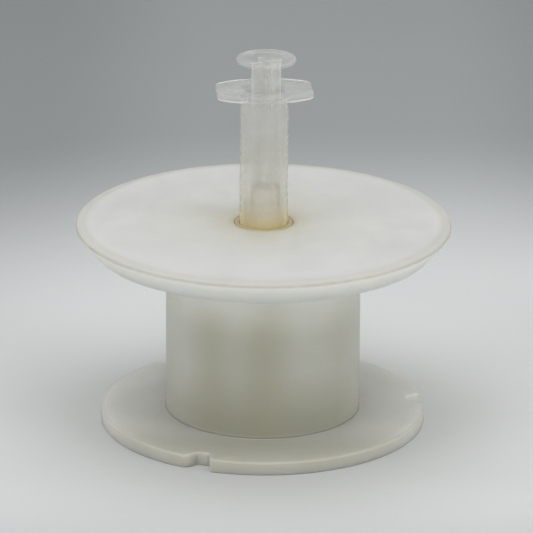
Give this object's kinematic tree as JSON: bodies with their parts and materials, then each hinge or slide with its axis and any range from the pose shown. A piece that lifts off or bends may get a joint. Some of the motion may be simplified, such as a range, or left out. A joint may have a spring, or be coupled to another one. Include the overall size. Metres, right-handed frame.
{
  "type": "film developing reel",
  "caption": "Flanged winding spool for film with a notched base, a wide stepped lid and a removable syringe standing in its centre.",
  "frame": {"origin": "centre of the underside of the bottom flange, on the spool's axis", "axes": "+Z along the spool's axis towards the plunger, +X nearly along the finger flange (it is turned 5 degrees from it)"},
  "size_m": [0.081, 0.081, 0.0818],
  "materials": {
    "base_plastic": "translucent milky plastic, turned, satin",
    "hub_plastic": "translucent milky plastic, greyish beige, satin",
    "guide_plastic": "natural plastic, stained amber by chemicals",
    "lid_plastic": "milky white plastic, matt, faint brown stain round the hole",
    "amber_rubber": "translucent amber rubber",
    "clear_plastic": "hazy clear moulded plastic, semi-gloss",
    "seal_rubber": "pale rubber, satin"
  },
  "bodies": {
    "reel": {"bottom_flange": "base_plastic", "hub_tube": "hub_plastic", "centre_tube": "guide_plastic", "nozzle_seat": "guide_plastic"},
    "lid": {"top_flange": "lid_plastic", "lid_plate": "lid_plastic"},
    "bearing": {"barrel_grommet": "amber_rubber"},
    "syringe": {"syringe_barrel": "clear_plastic"},
    "plunger": {"plunger_rod": "clear_plastic", "plunger_seal": "seal_rubber"}
  },
  "joints": [
    {"name": "lid_lift", "type": "slide", "parent": "reel", "child": "lid", "axis": [0, 0, 1], "range_m": [0, 0.045]},
    {"name": "barrel_turn", "type": "hinge", "parent": "lid", "child": "bearing", "pos_m": [0, 0, 0.0412], "axis": [0, 0, 1], "continuous": true},
    {"name": "barrel_lift", "type": "slide", "parent": "bearing", "child": "syringe", "axis": [0, 0, 1], "range_m": [0, 0.05]},
    {"name": "plunger_slide", "type": "slide", "parent": "syringe", "child": "plunger", "axis": [0, 0, 1], "range_m": [-0.0016, 0.05]}
  ]
}
